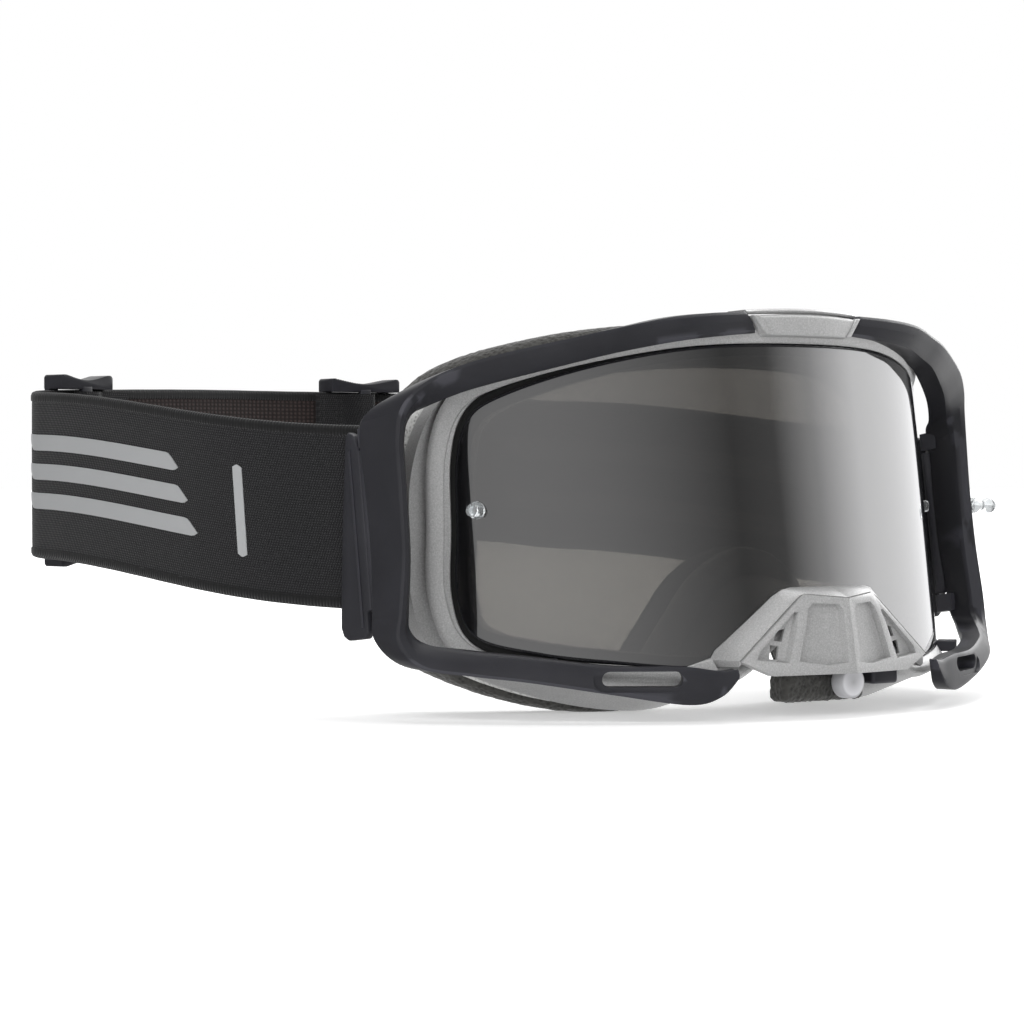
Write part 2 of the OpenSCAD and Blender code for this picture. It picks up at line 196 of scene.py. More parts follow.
def join(name, objs):
    bm = bmesh.new()
    mats = []
    for o in objs:
        me = o.data
        off = len(mats)
        mats += list(me.materials)
        b2 = bmesh.new()
        b2.from_mesh(me)
        for f in b2.faces:
            f.material_index += off
        tmp = bpy.data.meshes.new("tmp")
        b2.to_mesh(tmp)
        b2.free()
        bm.from_mesh(tmp)
        bpy.data.meshes.remove(tmp)
    me = bpy.data.meshes.new(name)
    bm.to_mesh(me)
    bm.free()
    uniq = []
    remap = []
    for mt in mats:
        if mt not in uniq:
            uniq.append(mt)
        remap.append(uniq.index(mt))
    for p in me.polygons:
        p.material_index = remap[p.material_index]
    for mt in uniq:
        me.materials.append(mt)
    o = bpy.data.objects.new(name, me)
    bpy.context.scene.collection.objects.link(o)
    for q in objs:
        bpy.data.objects.remove(q)
    return o


def cut(o, cutter, remove=True):
    m = o.modifiers.new("cut", "BOOLEAN")
    m.operation = "DIFFERENCE"
    m.solver = "EXACT"
    m.object = cutter
    bake(o)
    if remove:
        bpy.data.objects.remove(cutter)
    return o


def lathe(name, prof, mat, origin, axis, seg=48):
    """prof: (radius, height) pairs; axis: unit direction in the drawing axes."""
    a = np.array(axis, float)
    a /= np.linalg.norm(a)
    u = np.cross(a, [0, 0, 1.0])
    u /= np.linalg.norm(u)
    w = np.cross(a, u)
    V, F = [], []
    m = len(prof)
    for i in range(seg):
        t = 2 * math.pi * i / seg
        for r, h in prof:
            V.append(np.array(origin) + a * h + (u * math.cos(t) + w * math.sin(t)) * max(r, 1e-4))
    for i in range(seg):
        k = (i + 1) % seg
        for j in range(m - 1):
            F.append((i * m + j, k * m + j, k * m + j + 1, i * m + j + 1))
    F.append(tuple(i * m for i in range(seg)))
    F.append(tuple(i * m + m - 1 for i in range(seg))[::-1])
    return smooth(obj_from(name, V, F, mat), 45)


def mirror_copy(o, name):
    me = o.data.copy()
    me.transform(Matrix.Scale(-1, 4, (1, 0, 0)))
    me.flip_normals()
    q = bpy.data.objects.new(name, me)
    bpy.context.scene.collection.objects.link(q)
    return q


# ------------------------------------------------------------------ materials
def new_mat(name):
    m = bpy.data.materials.new(name)
    m.use_nodes = True
    nt = m.node_tree
    for n in list(nt.nodes):
        nt.nodes.remove(n)
    out = nt.nodes.new("ShaderNodeOutputMaterial")
    return m, nt, out


def node(nt, kind, **kw):
    n = nt.nodes.new(kind)
    for k, v in kw.items():
        if k in n.inputs:
            n.inputs[k].default_value = v
        else:
            setattr(n, k, v)
    return n


def ramp(nt, src, stops, interp="LINEAR"):
    r = nt.nodes.new("ShaderNodeValToRGB")
    r.color_ramp.interpolation = interp
    e = r.color_ramp.elements
    while len(e) < len(stops):
        e.new(0.5)
    for i, (p, c) in enumerate(stops):
        e[i].position = p
        e[i].color = (*c, 1) if len(c) == 3 else c
    nt.links.new(src, r.inputs["Fac"])
    return r


def principled(nt, out, **kw):
    p = nt.nodes.new("ShaderNodeBsdfPrincipled")
    for k, v in kw.items():
        p.inputs[k.replace("_", " ")].default_value = v
    nt.links.new(p.outputs["BSDF"], out.inputs["Surface"])
    return p


def obj_coord(nt):
    return nt.nodes.new("ShaderNodeTexCoord").outputs["Object"]


def add_bump(nt, p, heights, strength=0.3, dist=0.0002):
    prev = None
    for h, s, d in heights:
        b = nt.nodes.new("ShaderNodeBump")
        b.inputs["Strength"].default_value = s
        b.inputs["Distance"].default_value = d
        nt.links.new(h, b.inputs["Height"])
        if prev is not None:
            nt.links.new(prev.outputs["Normal"], b.inputs["Normal"])
        prev = b
    nt.links.new(prev.outputs["Normal"], p.inputs["Normal"])


def mat_silver(name="silver", base=(0.40, 0.40, 0.40), metal=0.45, rough=0.42):
    m, nt, out = new_mat(name)
    p = principled(nt, out, Metallic=metal)
    co = obj_coord(nt)
    big = node(nt, "ShaderNodeTexNoise", Scale=60.0, Detail=4.0)
    fine = node(nt, "ShaderNodeTexNoise", Scale=2600.0, Detail=2.0)
    flake = node(nt, "ShaderNodeTexVoronoi", Scale=2200.0)
    for n in (big, fine, flake):
        nt.links.new(co, n.inputs["Vector"])
    b = np.array(base)
    c = ramp(nt, fine.outputs["Fac"], [(0.3, tuple(b * 0.86)), (0.7, tuple(b * 1.14))])
    mix = nt.nodes.new("ShaderNodeMix")
    mix.data_type = "RGBA"
    mix.blend_type = "MULTIPLY"
    mix.inputs[0].default_value = 0.35
    nt.links.new(c.outputs["Color"], mix.inputs[6])
    c2 = ramp(nt, flake.outputs["Distance"], [(0.0, (1.3, 1.3, 1.3)), (0.5, (0.8, 0.8, 0.8))])
    nt.links.new(c2.outputs["Color"], mix.inputs[7])
    nt.links.new(mix.outputs[2], p.inputs["Base Color"])
    r = ramp(nt, big.outputs["Fac"], [(0.3, (rough - 0.05,) * 3), (0.7, (rough + 0.07,) * 3)])
    nt.links.new(r.outputs["Color"], p.inputs["Roughness"])
    add_bump(nt, p, [(fine.outputs["Fac"], 0.25, 0.00006), (big.outputs["Fac"], 0.1, 0.0002)])
    return m


def mat_black(name="black", base=(0.020, 0.020, 0.024), rough=0.42, grain=1900.0, bump=0.3):
    m, nt, out = new_mat(name)
    p = principled(nt, out)
    co = obj_coord(nt)
    fine = node(nt, "ShaderNodeTexNoise", Scale=grain, Detail=3.0)
    big = node(nt, "ShaderNodeTexNoise", Scale=45.0, Detail=5.0)
    geo = nt.nodes.new("ShaderNodeNewGeometry")
    for n in (fine, big):
        nt.links.new(co, n.inputs["Vector"])
    b = np.array(base)
    c = ramp(nt, big.outputs["Fac"], [(0.3, tuple(b * 0.85)), (0.7, tuple(b * 1.2))])
    # edges that stand out (high pointiness) are painted up to 2.2 times lighter: painted highlight along the convex
    # edges
    painted_edge_highlight = ramp(nt, geo.outputs["Pointiness"], [(0.52, (0, 0, 0)), (0.62, (1, 1, 1))])
    mix = nt.nodes.new("ShaderNodeMix")
    mix.data_type = "RGBA"
    nt.links.new(painted_edge_highlight.outputs["Color"], mix.inputs[0])
    nt.links.new(c.outputs["Color"], mix.inputs[6])
    mix.inputs[7].default_value = (*(b * 2.2), 1)
    nt.links.new(mix.outputs[2], p.inputs["Base Color"])
    r = ramp(nt, big.outputs["Fac"], [(0.25, (rough - 0.06,) * 3), (0.75, (rough + 0.08,) * 3)])
    nt.links.new(r.outputs["Color"], p.inputs["Roughness"])
    add_bump(nt, p, [(fine.outputs["Fac"], bump, 0.00005)])
    return m


def mat_lens():
    m, nt, out = new_mat("mirror_lens")
    gl = node(nt, "ShaderNodeBsdfGlossy")
    gl.inputs["Color"].default_value = (0.92, 0.92, 0.93, 1)
    gl.inputs["Roughness"].default_value = 0.05
    tr = node(nt, "ShaderNodeBsdfTransparent")
    tr.inputs["Color"].default_value = (0.40, 0.385, 0.36, 1)
    mx = node(nt, "ShaderNodeMixShader")
    lw = node(nt, "ShaderNodeFresnel", IOR=1.45)
    r = ramp(nt, lw.outputs["Fac"], [(0.0, (0.44,) * 3), (0.35, (0.9,) * 3)])
    nt.links.new(r.outputs["Color"], mx.inputs[0])
    nt.links.new(tr.outputs[0], mx.inputs[1])
    nt.links.new(gl.outputs[0], mx.inputs[2])
    nt.links.new(mx.outputs[0], out.inputs["Surface"])
    return m


def mat_clear():
    m, nt, out = new_mat("clear_plastic")
    p = principled(nt, out, Base_Color=(0.62, 0.64, 0.65, 1), Roughness=0.12, Transmission_Weight=0.9, IOR=1.47)
    co = obj_coord(nt)
    n = node(nt, "ShaderNodeTexNoise", Scale=900.0, Detail=2.0)
    nt.links.new(co, n.inputs["Vector"])
    add_bump(nt, p, [(n.outputs["Fac"], 0.05, 0.00005)])
    return m


def mat_foam(name, base, scale=900.0, bump=0.8):
    m, nt, out = new_mat(name)
    p = principled(nt, out, Roughness=0.95, Specular_IOR_Level=0.2, Sheen_Weight=0.25, Sheen_Roughness=0.6)
    co = obj_coord(nt)
    vor = node(nt, "ShaderNodeTexVoronoi", Scale=scale)
    noi = node(nt, "ShaderNodeTexNoise", Scale=scale * 0.35, Detail=6.0)
    for n in (vor, noi):
        nt.links.new(co, n.inputs["Vector"])
    b = np.array(base)
    # colour follows the bump: the pits at the cell centres are painted darker (painted shade in the pores), and the
    # noise paints the low spots darker (painted shade) and the high spots lighter (painted light)
    c = ramp(nt, vor.outputs["Distance"], [(0.05, tuple(b * 0.45)), (0.32, tuple(b * 1.0)), (0.6, tuple(b * 1.25))])
    c2 = ramp(nt, noi.outputs["Fac"], [(0.3, (0.75,) * 3), (0.7, (1.15,) * 3)])
    mix = nt.nodes.new("ShaderNodeMix")
    mix.data_type = "RGBA"
    mix.blend_type = "MULTIPLY"
    mix.inputs[0].default_value = 1.0
    nt.links.new(c.outputs["Color"], mix.inputs[6])
    nt.links.new(c2.outputs["Color"], mix.inputs[7])
    nt.links.new(mix.outputs[2], p.inputs["Base Color"])
    add_bump(nt, p, [(vor.outputs["Distance"], bump, 0.0004), (noi.outputs["Fac"], 0.6, 0.0005)])
    return m


def mat_web(name, base, rib=0.0011, cross=0.0009, rough=0.85, slant=0.35):
    """Woven elastic: UV x runs along the band in metres, y across it."""
    m, nt, out = new_mat(name)
    p = principled(nt, out, Roughness=rough, Specular_IOR_Level=0.3, Sheen_Weight=0.12, Sheen_Roughness=0.5)
    uv = nt.nodes.new("ShaderNodeTexCoord").outputs["UV"]
    sep = node(nt, "ShaderNodeSeparateXYZ")
    nt.links.new(uv, sep.inputs[0])

    def math_(op, a, b=None):
        n = nt.nodes.new("ShaderNodeMath")
        n.operation = op
        for i, x in enumerate((a, b)):
            if x is None:
                continue
            if isinstance(x, (int, float)):
                n.inputs[i].default_value = x
            else:
                nt.links.new(x, n.inputs[i])
        return n.outputs[0]
    u, v = sep.outputs[0], sep.outputs[1]
    noi = node(nt, "ShaderNodeTexNoise", Scale=700.0, Detail=3.0)
    nt.links.new(uv, noi.inputs["Vector"])
    wob = math_("MULTIPLY", noi.outputs["Fac"], 1.4)
    a = math_("ADD", math_("MULTIPLY", u, 2 * math.pi / rib), math_("MULTIPLY", v, slant * 2 * math.pi / rib))
    a = math_("ADD", a, wob)
    b = math_("ADD", math_("MULTIPLY", v, 2 * math.pi / cross), wob)
    sa, sb = math_("SINE", a), math_("SINE", b)
    h = math_("MULTIPLY", math_("ADD", sa, 1.0), math_("ADD", sb, 1.2))
    h = math_("MULTIPLY", h, 0.25)
    hh = math_("ADD", h, math_("MULTIPLY", noi.outputs["Fac"], 0.4))
    c0 = np.array(base)
    # colour follows the weave height that also drives the bump: low threads painted darker (painted shade in the
    # grooves), raised threads painted lighter (painted highlight on the crowns)
    c = ramp(nt, hh, [(0.1, tuple(c0 * 0.45)), (0.55, tuple(c0)), (1.0, tuple(c0 * 1.7))])
    nt.links.new(c.outputs["Color"], p.inputs["Base Color"])
    add_bump(nt, p, [(hh, 0.75, 0.00022)])
    return m


def mat_print():
    m, nt, out = new_mat("silver_print")
    p = principled(nt, out, Base_Color=(0.62, 0.63, 0.64, 1), Metallic=0.6, Roughness=0.35)
    co = obj_coord(nt)
    n = node(nt, "ShaderNodeTexNoise", Scale=1500.0, Detail=2.0)
    nt.links.new(co, n.inputs["Vector"])
    add_bump(nt, p, [(n.outputs["Fac"], 0.2, 0.0001)])
    r = ramp(nt, n.outputs["Fac"], [(0.3, (0.3,) * 3), (0.7, (0.42,) * 3)])
    nt.links.new(r.outputs["Color"], p.inputs["Roughness"])
    return m


SILVER = mat_silver("silver", (0.46, 0.46, 0.46), 0.4, 0.42)
SILVER_L = mat_silver("silver_light", (0.48, 0.48, 0.48), 0.45, 0.36)
BLACK = mat_black()
BLACK_S = mat_black("black_satin", (0.014, 0.014, 0.017), 0.34, 2300.0, 0.2)
RUBBER = mat_black("black_rubber", (0.008, 0.008, 0.008), 0.62, 1200.0, 0.4)
BORDER = mat_black("lens_border_black", (0.006, 0.006, 0.007), 0.18, 3000.0, 0.05)
GREYP = mat_black("grey_plastic", (0.27, 0.27, 0.28), 0.35, 1500.0, 0.2)
LENS = mat_lens()
CLEAR = mat_clear()
FOAM_L = mat_foam("foam_light", (0.50, 0.50, 0.49), 1100.0, 0.5)
FOAM_D = mat_foam("foam_dark", (0.045, 0.044, 0.041), 800.0, 0.9)
FLEECE = mat_foam("fleece", (0.020, 0.020, 0.019), 1500.0, 0.9)
WEB = mat_web("webbing", (0.0125, 0.0125, 0.0135), 0.0008, 0.00065)
WEB_IN = mat_web("webbing_inner", (0.024, 0.017, 0.016), 0.0016, 0.0012, 0.9, 0.0)
BIND = mat_web("webbing_edge", (0.011, 0.011, 0.0115), 0.0010, 0.004, 0.8, 0.0)
GRIP = mat_web("grip_rubber", (0.065, 0.055, 0.053), 0.0013, 0.0013, 0.7, 0.0)
PRINT = mat_print()


# ------------------------------------------------------------------ lens
def lens_ring(Q):
    """Rings around the lens: Q holds (offset, share of the rim, height)."""
    out = []
    for o, k, h in Q:
        p = LL[:, :2] + LN * (o + k * LL[:, 2:3])
        out.append(W(p[:, 0], p[:, 1], h))
    return np.stack(out, 1)


def face_ring(Q):
    """Rings round the face side: Q holds (offset, depth)."""
    out = []
    for o, d in Q:
        p = FL + FN * o
        out.append(np.stack([p[:, 0], face_y(p[:, 0]) + d, p[:, 1] + Z0], -1))
    return np.stack(out, 1)


half_n = MM_ * 15
top_i = np.arange(0, MM_ * 7 + 1)
low_i = np.arange(MM_ * 15, MM_ * 7 - 1, -1)
ts, tz = LL[top_i, 0], LL[top_i, 1]
ls, lz = LL[low_i, 0], LL[low_i, 1]


def mono(s, z):
    keep = np.concatenate([[True], np.diff(np.maximum.accumulate(s)) > 0])
    return s[keep], z[keep]


ts, tz = mono(ts, tz)
ls, lz = mono(ls, lz)
S_MAX = 100.9
th = np.linspace(-math.pi / 2, math.pi / 2, 181)
cols = S_MAX * np.sin(th)
NR = 26
fr, bk = [], []
for s in cols:
    zt, zb = np.interp(abs(s), ts, tz) - 0.15, np.interp(abs(s), ls, lz) + 0.15
    zz = zb + (zt - zb) * (np.linspace(0, 1, NR))
    fr.append(W(np.full(NR, s), zz, 0.0))
    bk.append(W(np.full(NR, s), zz, -LT))
fr, bk = np.array(fr), np.array(bk)
C = len(cols)
V = np.concatenate([fr.reshape(-1, 3), bk.reshape(-1, 3)])
o2 = C * NR
F = []
for i in range(C - 1):
    for j in range(NR - 1):
        a, b = i * NR + j, (i + 1) * NR + j
        F += [(a, b, b + 1, a + 1), (o2 + a, o2 + a + 1, o2 + b + 1, o2 + b)]
    for j in (0, NR - 1):
        F.append((i * NR + j, (i + 1) * NR + j, o2 + (i + 1) * NR + j, o2 + i * NR + j))
for i in (0, C - 1):
    for j in range(NR - 1):
        F.append((i * NR + j, i * NR + j + 1, o2 + i * NR + j + 1, o2 + i * NR + j))
lens = smooth(obj_from("lens_shell", V, F, LENS), 40)
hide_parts("lens"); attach(lens, "frame")
border = smooth(ring("lens_edge_print", lens_ring([(-0.6, 0, 0.02), (-0.6, 0, 0.05), (-0.3, 0, 0.07), (0.06, 0, -0.1), (0.1, 0, -1.1), (-0.4, 0, -1.24), (0.02, 0, -1.1), (0.0, 0, -0.2), (-0.4, 0, 0.02)]), BORDER), 30)
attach(border, "frame")
gasket = bevel(ring("lens_seal", lens_ring([(-2.8, 0, -1.3), (-2.8, 0, -2.15), (2.3, 0, -2.15), (2.3, 0, -1.3), (1.2, 0, -1.1), (0.6, 0, -1.3)]), RUBBER), 0.15)
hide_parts("lens_gasket"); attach(gasket, "frame")

# ------------------------------------------------------------------ inner frame
S = np.concatenate([
    lens_ring([(-3, 0, -2.25), (2.45, 0, -2.25), (2.45, 0, -1.2), (-2.67, 0.9, -1.15), (-2.67, 0.9, -0.35), (-0.5, 1, 1.14), (0, 1, 1.3), (0.6, 1, 1.3), (1.2, 1, 0.9), (2.4, 1, -1.6), (2.6, 1, -3.4)]),
    face_ring([(-1.4, -7), (-2.0, -1.4), (-2.1, -0.05), (-5, -0.05), (-5, -2)]),
    lens_ring([(-3, 0, -6)])], 1)
inner = bevel(ring("inner_frame_moulding", S, SILVER), 0.28, 2, 22, 42)
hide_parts("inner_frame"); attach(inner, "frame")

# ------------------------------------------------------------------ face foam
def rounded(o_out, o_in, d0, d1, r, k=4):
    """Section with its face-side corners rounded: (offset, depth)."""
    P = [(o_out, d0)]
    P += [(o_out - r + r * math.cos(a), d1 - r + r * math.sin(a)) for a in np.linspace(0, math.pi / 2, k)]
    mid = (o_out + o_in) / 2
    P += [(mid, d1 + 0.3)]
    P += [(o_in + r - r * math.cos(a), d1 - r + r * math.sin(a)) for a in np.linspace(math.pi / 2, 0, k)]
    P += [(o_in, d0), (mid, d0)]
    return P


def rough_up(o, amp, scale, seed=0.0):
    me = o.data
    n = len(me.vertices)
    co = np.zeros(n * 3); me.vertices.foreach_get("co", co); co = co.reshape(-1, 3)
    no = np.zeros(n * 3); me.vertices.foreach_get("normal", no); no = no.reshape(-1, 3)
    d = np.array([noise.noise(Vector((p[0] * scale + seed, p[1] * scale, p[2] * scale))) + 0.5 * noise.noise(Vector((p[0] * scale * 2.7, p[1] * scale * 2.7 + seed, p[2] * scale * 2.7))) for p in co])
    co = co + no * (d * amp * 0.001)[:, None]
    me.vertices.foreach_set("co", co.ravel())
    me.update()
    return o


def subdivide(o, levels=1):
    s = o.modifiers.new("sub", "SUBSURF")
    s.levels = levels
    s.render_levels = levels
    s.subdivision_type = "CATMULL_CLARK"
    bake(o)
    return o


foam1 = rough_up(smooth(subdivide(ring("face_foam_base", face_ring(rounded(-1.9, -12, 0.0, 4.1, 0.7)), FOAM_L), 1), 60), 0.05, 1500)
foam2 = rough_up(smooth(subdivide(ring("face_foam_middle", face_ring(rounded(0.1, -12, 4.15, 13.0, 3.0, 6)), FOAM_D), 1), 70), 0.16, 900)
foam3 = rough_up(smooth(subdivide(ring("face_fleece_layer", face_ring(rounded(-1.6, -11.2, 12.6, 15.0, 1.4, 4)), FLEECE), 1), 70), 0.16, 1300)
for o, n, sl in ((foam1, "foam_base", "light_foam"), (foam2, "foam_middle", "dark_foam"), (foam3, "face_fleece", "fleece")):
    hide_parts(n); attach(o, "frame")

# ------------------------------------------------------------------ outer frame
exo = [
    [[20, -3.4, 54.4], [0, 8.5, 0], [-3.4, -1.2, -5.4]],
    [[31, -3.6, 53.8], [0, 9, 0], [-1.6, -1, -6]],
    [[42, -2, 52.6], [-0.5, 9, -0.2], [-1.6, -0.2, -6.2]],
    [[53, 3.2, 50.2], [-1.5, 9, -0.4], [-1.8, 0.6, -6]],
    [[63.5, 9, 47.6], [-1.5, 9, -0.8], [-2.2, 0.8, -6]],
    [[83.3, 23.5, 42], [1, 11, -2], [-4, 1, -6]],
    [[93.5, 32, 37], [3, 13, -4], [-5, 1, -5]],
    [[98.8, 37, 30.5], [2.8, 15, -3], [-5, 0.6, -2.2]],
    [[100.4, 38, 22], [2, 15, -1], [-4.2, 0.5, 0]],
    [[100.4, 36.6, 8], [1.6, 14.2, 0], [-4, 0.5, 0]],
    [[100.8, 34.6, -8], [1.2, 13.6, 0], [-4, 0.5, 0]],
    [[102.6, 33.4, -22], [0.6, 12.4, 0], [-4.4, 0.5, 0.8]],
    [[103.4, 33, -30], [0, 11.4, 0], [-5, 0, 3]],
    [[99.5, 28, -36.4], [-1, 10, 0], [-3, 1, 6]],
    [[91, 19, -38.2], [-4, 7, 0], [-1, 2, 6.2]],
    [[79.7, 8.5, -39.8], [-4, 5.5, 0], [-0.4, 1.5, 6.4]],
    [[63, -3.6, -42.8], [-3, 5.5, 0], [0, 1, 7.2]],
    [[46.5, -13, -45.4], [-2, 5, 0], [0, 0.5, 9.4]],
    [[39, -16.6, -43.5], [-1, 4.5, 0], [-0.4, 0.5, 6.5]],
    [[34.6, -18.2, -39], [0, 3.4, 0], [-0.2, 0.3, 2.4]]]
EM = 8
E = opened([sum(r, []) for r in exo], EM)
EP, EA, EB = E[:, 0:3] + V3(0, 0, Z0), E[:, 3:6], E[:, 6:9]
sec = [(0.06, 0.0), (0.0, 0.12), (0.0, 0.45), (0.06, 0.62), (0.1, 0.85), (0.2, 1.0), (0.6, 0.94), (0.92, 1.0), (1.0, 0.86), (1.0, 0.04), (0.97, 0.0)]


def exo_sections():
    return np.stack([EP + EA * a + EB * b for a, b in sec], 1)


def stadium(cx, cy, cz, ang, length, height, depth, y_off, k=10):
    """Rounded slot cutter: x along the arm, y through it."""
    ca_, sa_ = math.cos(ang), math.sin(ang)
    r = height / 2
    P = [(length / 2 - r + r * math.cos(t), r * math.sin(t)) for t in np.linspace(-math.pi / 2, math.pi / 2, k)]
    P += [(-length / 2 + r + r * math.cos(t), r * math.sin(t)) for t in np.linspace(math.pi / 2, 3 * math.pi / 2, k)]
    rows = []
    for y in (y_off, y_off + depth):
        rows.append([V3(cx + x * ca_ - y * sa_, cy + x * sa_ + y * ca_, cz + z) for x, z in P])
    return bar("cutter", rows, None)


exo_o = bar("outer_frame_half_left", exo_sections(), BLACK)
ang = math.radians(33)
cut(exo_o, stadium(57.0, -7.4, Z0 - 38.9, ang, 25, 6.4, 6.0, -5.0))
cut(exo_o, stadium(57.0, -7.4, Z0 - 38.9, ang, 20.5, 3.9, 24, -10))
hax = V3(0, math.sin(math.radians(8.3)), math.cos(math.radians(8.3)))
cut(exo_o, lathe("cutter", [(0, -21.2), (2.6, -21.2), (2.6, 21.2), (0, 21.2)], None, V3(99.5, 50.6, -2 + Z0), hax, 40))
exo_l = bevel(exo_o, 0.45, 2, 26, 42)
exo_r = mirror_copy(exo_l, "outer_frame_half_right")
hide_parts("outer_frame_left"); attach(exo_l, "frame")
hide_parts("outer_frame_right"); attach(exo_r, "frame")

# ------------------------------------------------------------------ brow badge
rows = []
for t in np.linspace(-1, 1, 25):
    y = -6.2 + 2.775 * t * t
    zt = 54.1 - 0.6 * t * t
    xr = lambda v: t * (14.4 + (18.4 - 14.4) * v)
    rows.append([V3(xr(1), y + 0.9, zt + Z0), V3(xr(0.94), y - 0.7, zt - 0.5 + Z0), V3(xr(0.86), y - 0.95, zt - 1.1 + Z0), V3(xr(0.12), y - 1.5, 49.2 + Z0),
                 V3(xr(0.0), y - 1.1, 48.5 + Z0), V3(xr(0), y + 1.6, 48.1 + Z0), V3(xr(1), y + 3.4, zt - 0.2 + Z0)])
badge = bar("brow_badge_body", rows, SILVER)
ends = []
for q in (-1, 1):
    rows = []
    for v in np.linspace(0, 1, 6):
        x0 = q * (12.6 + (16.8 - 12.6) * v); x1 = q * (14.6 + (18.6 - 14.6) * v)
        y = -6.2 + 2.775 * (0.9 ** 2) - 1.5 + 0.7 * v - 0.55
        z = 48.6 + (53.6 - 48.6) * v + Z0
        rows.append([V3(x0, y, z), V3(x1, y + 0.45, z), V3(x1, y + 2.2, z), V3(x0, y + 1.6, z)])
    ends.append(bar("e", rows, SILVER_L))
badge = bevel(join("brow_badge_body", [badge] + ends), 0.3, 2, 25, 45)
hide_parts("brow_badge"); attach(badge, "frame")
rows = []
for t in np.linspace(-1, 1, 25):
    y = -5.2 + 2.8 * t * t
    z = Z0 - 0.6 * t * t
    rows.append([V3(18.8 * t, y + 0.5, 54.5 + z), V3(18.8 * t, y, 55.1 + z), V3(18.8 * t, y + 0.9, 55.7 + z), V3(18.8 * t, y + 8, 55.5 + z), V3(18.8 * t, y + 8, 54.5 + z)])
cap = bevel(bar("brow_badge_top", rows, SILVER_L), 0.15)
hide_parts("brow_badge_cap"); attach(cap, "frame")

# ------------------------------------------------------------------ posts
pr = [(0.0, -0.2), (2.3, -0.2), (2.35, 0.2), (2.25, 0.65), (1.9, 0.85), (1.2, 0.95), (1.15, 1.9), (1.45, 2.05), (1.62, 2.2), (1.65, 2.5), (1.65, 3.2), (1.5, 3.5), (1.1, 3.62), (0, 3.65)]
for side, nm, cn in ((1, "lens_post_left_clear", "lens_post_left"), (-1, "lens_post_right_clear", "lens_post_right")):
    a = 93.5 / LR
    o = lathe(nm, pr, CLEAR, W(np.array(93.5 * side), np.array(3.2), 0.25), (math.sin(a) * side, -math.cos(a), 0))
    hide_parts(cn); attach(o, "frame")
tp = [(0, 0.1), (2.1, 0.1), (2.2, 0.4), (2.2, 1.9), (2.0, 2.25), (1.5, 2.4), (1.35, 2.7), (1.33, 5.2), (1.45, 5.6), (1.8, 5.95), (2.1, 6.5), (2.2, 7.0), (2.2, 7.9), (2.05, 8.5), (1.7, 9.0), (1.1, 9.3), (0, 9.4)]
o = lathe("tab_post_clear", tp, CLEAR, V3(101.7, 38.5, Z0 + 3.2), (1, 0, 0))
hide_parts("tab_post"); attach(o, "frame")

# ------------------------------------------------------------------ nose guard
gc_t, gc_b = V3(0, -20.8, -19.4 + Z0), V3(0, -24, -38.6 + Z0)
g_t, g_o, g_b = V3(11.9, -16.6, -18.3 + Z0), V3(31.8, -15.8, -35 + Z0), V3(23, -18.4, -38.8 + Z0)
mx = lambda p: p * V3(-1, 1, 1)


def prism(name, P, v, mat=None):
    return bar(name, [P, [p + v for p in P]], mat)


def face_front(x, z):
    """Depth of the guard's front wall at x, z (half model, plane through its corners)."""
    A, B, Cc = gc_t, gc_b, g_o
    n = np.cross(B - A, Cc - A)
    return A[1] - (n[0] * (abs(x) - A[0]) + n[2] * (z - A[2])) / n[1]


Vg, Fg = [], []
tri = [gc_t, gc_b, g_b, g_o, g_t]
front = [gc_t, g_t, g_o, g_b, gc_b, mx(g_b), mx(g_o), mx(g_t)]
nv = len(front)
Vg = front + [p + V3(0, 3.0, 0) for p in front]
Fg = [(0, 1, 2), (0, 2, 3, 4), (0, 4, 5, 6), (0, 6, 7)]
Fg += [tuple(nv + i for i in f[::-1]) for f in Fg]
Fg += [(i, (i + 1) % nv, nv + (i + 1) % nv, nv + i) for i in range(nv)]
plate = obj_from("nose_guard_shell", Vg, Fg, SILVER)


def pocket(P2, depth, grow=0.0, through=False):
    """Pocket cutter that follows the front wall: P2 holds (x, z)."""
    A = [V3(x, face_front(x, z + Z0) - 6, z + Z0) for x, z in P2]
    B = [V3(x, face_front(x, z + Z0) + (9 if through else depth), z + Z0) for x, z in P2]
    return bar("cutter", [A, B], None)


for q in (-1, 1):
    cut(plate, pocket([(q * 1.9, -22.2), (q * 1.9, -35.8), (q * 7.5, -36.4), (q * 15.8, -35.2), (q * 11.6, -22.0), (q * 10.0, -20.6), (q * 3.0, -20.9)], 2.3))
    cut(plate, pocket([(q * 14.2, -22.8), (q * 18.6, -35.6), (q * 27.5, -34.6), (q * 26.6, -32.6), (q * 15.4, -22.8)], 2.3))
    cut(plate, pocket([(q * 17.4, -27.0), (q * 18.6, -30.2), (q * 20.8, -30.0), (q * 19.8, -27.4)], 1, through=True))
    cut(plate, pocket([(q * 19.6, -31.4), (q * 20.4, -34.8), (q * 22.6, -34.6), (q * 22.0, -31.0)], 1, through=True))
# pieces joined into the nose guard, starting with the shell
parts = [plate]


def wall(P):
    """Strip of the flange: rows of four points."""
    return bar("w", P, SILVER)


